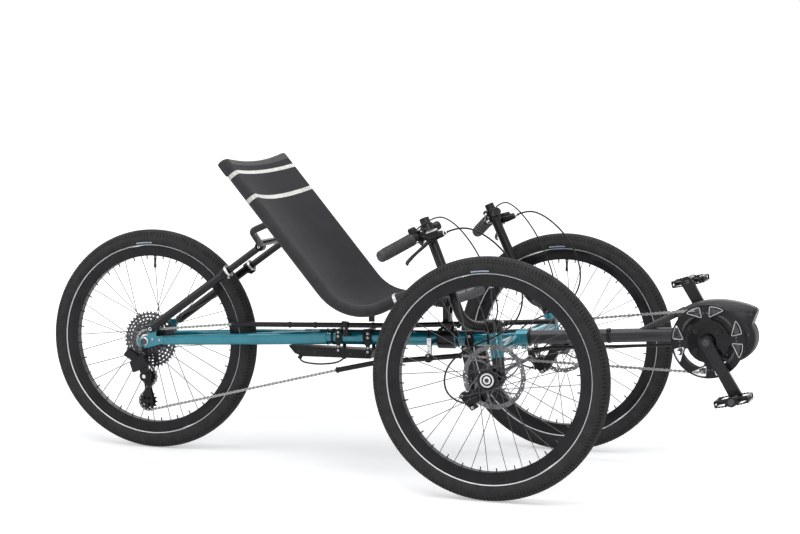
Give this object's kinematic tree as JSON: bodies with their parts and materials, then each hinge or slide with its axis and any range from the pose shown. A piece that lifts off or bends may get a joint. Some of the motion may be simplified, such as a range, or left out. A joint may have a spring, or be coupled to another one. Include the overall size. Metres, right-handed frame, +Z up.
{
  "type": "recumbent tadpole trike",
  "caption": "Recumbent tadpole tricycle with an electric mid-drive motor at the boom, direct side steering, a mesh seat, disc brakes and a long chain drive to the rear wheel",
  "frame": {"origin": "on the floor, under the middle of the bounding box", "axes": "+X points forward, +Y to the rider's left, +Z up"},
  "size_m": [2.1805, 0.9612, 0.8909],
  "materials": {
    "black_aluminium": "black anodised aluminium",
    "black_paint": "satin black paint",
    "black_plastic": "moulded black plastic",
    "cassette_steel": "dark nickel plated steel",
    "chain_steel": "nickel plated steel",
    "grip_rubber": "ribbed matt rubber",
    "hose_black": "black hose",
    "rotor_steel": "brushed stainless steel",
    "seat_fabric": "charcoal mesh fabric with reflective bands",
    "silver_aluminium": "brushed silver",
    "spoke_steel": "stainless wire",
    "teal_paint": "metallic teal gloss paint",
    "tube_plastic": "black plastic tube",
    "tyre": "matt black tread rubber with a reflective stripe"
  },
  "bodies": {
    "chassis": {"boom": "black_paint", "box_straps": "silver_aluminium", "cable_pipe": "hose_black", "chain": "chain_steel", "chain_tubes": "tube_plastic", "derailleur": "black_paint", "idler": "black_paint", "main_frame": "teal_paint", "motor": "black_plastic", "motor_hood": "black_plastic", "power_box": "black_plastic", "rear_axle": "silver_aluminium", "seat_mesh": "seat_fabric", "seat_mount": "black_paint", "seat_rails": "black_paint", "seat_struts_lower": "black_paint", "seat_struts_upper": "black_paint", "strut_collars": "silver_aluminium"},
    "knuckle_right": {"brake_hose_right": "hose_black", "brake_lever_right": "black_aluminium", "caliper_right": "black_aluminium", "control_pod_right": "black_plastic", "grip_right": "grip_rubber", "handlebar_right": "black_paint", "knuckle_right": "black_paint"},
    "knuckle_left": {"brake_hose_left": "hose_black", "brake_lever_left": "black_aluminium", "caliper_left": "black_aluminium", "control_pod_left": "black_plastic", "grip_left": "grip_rubber", "handlebar_left": "black_paint", "knuckle_left": "black_paint"},
    "wheel_right": {"hub_right": "black_aluminium", "rim_right": "black_aluminium", "rotor_right": "rotor_steel", "spokes_right": "spoke_steel", "tyre_right": "tyre"},
    "wheel_left": {"hub_left": "black_aluminium", "rim_left": "black_aluminium", "rotor_left": "rotor_steel", "spokes_left": "spoke_steel", "tyre_left": "tyre"},
    "wheel_rear": {"cassette": "cassette_steel", "hub_rear": "black_aluminium", "rim_rear": "black_aluminium", "spokes_rear": "spoke_steel", "tyre_rear": "tyre"},
    "crankset": {"chainring": "black_paint", "cranks": "black_paint"},
    "pedal_right": {"pedal_right": "black_paint"},
    "pedal_left": {"pedal_left": "black_paint"},
    "tie_rod": {"tie_rod": "black_paint"}
  },
  "joints": [
    {"name": "steer_right", "type": "hinge", "parent": "chassis", "child": "knuckle_right", "pos_m": [0.42522, -0.32537, 0.3335], "axis": [-0.1969, 0.2702, 0.9424], "range_deg": [-28, 28]},
    {"name": "steer_left", "type": "hinge", "parent": "chassis", "child": "knuckle_left", "pos_m": [0.42522, 0.32537, 0.3335], "axis": [-0.1969, -0.2702, 0.9424], "range_deg": [-28, 28]},
    {"name": "tie_rod_pivot", "type": "hinge", "parent": "knuckle_right", "child": "tie_rod", "pos_m": [0.34522, -0.3281, 0.294], "axis": [-0.1288, 0.2625, 0.9563], "range_deg": [-30, 30]},
    {"name": "wheel_right_spin", "type": "hinge", "parent": "knuckle_right", "child": "wheel_right", "pos_m": [0.42522, -0.421, 0.3335], "axis": [0, 1, 0], "continuous": true},
    {"name": "wheel_left_spin", "type": "hinge", "parent": "knuckle_left", "child": "wheel_left", "pos_m": [0.42522, 0.421, 0.3335], "axis": [0, 1, 0], "continuous": true},
    {"name": "wheel_rear_spin", "type": "hinge", "parent": "chassis", "child": "wheel_rear", "pos_m": [-0.75678, 0, 0.3335], "axis": [0, 1, 0], "continuous": true},
    {"name": "crank_spin", "type": "hinge", "parent": "chassis", "child": "crankset", "pos_m": [0.95022, 0, 0.4195], "axis": [0, 1, 0], "continuous": true},
    {"name": "pedal_right_spin", "type": "hinge", "parent": "crankset", "child": "pedal_right", "pos_m": [1.03984, -0.14, 0.27211], "axis": [0, 1, 0], "continuous": true},
    {"name": "pedal_left_spin", "type": "hinge", "parent": "crankset", "child": "pedal_left", "pos_m": [0.8606, 0.14, 0.56689], "axis": [0, 1, 0], "continuous": true}
  ],
  "couplings": [
    {"joint": "steer_left", "follows": "steer_right", "ratio": 1},
    {"joint": "tie_rod_pivot", "follows": "steer_right", "ratio": -1.01}
  ]
}
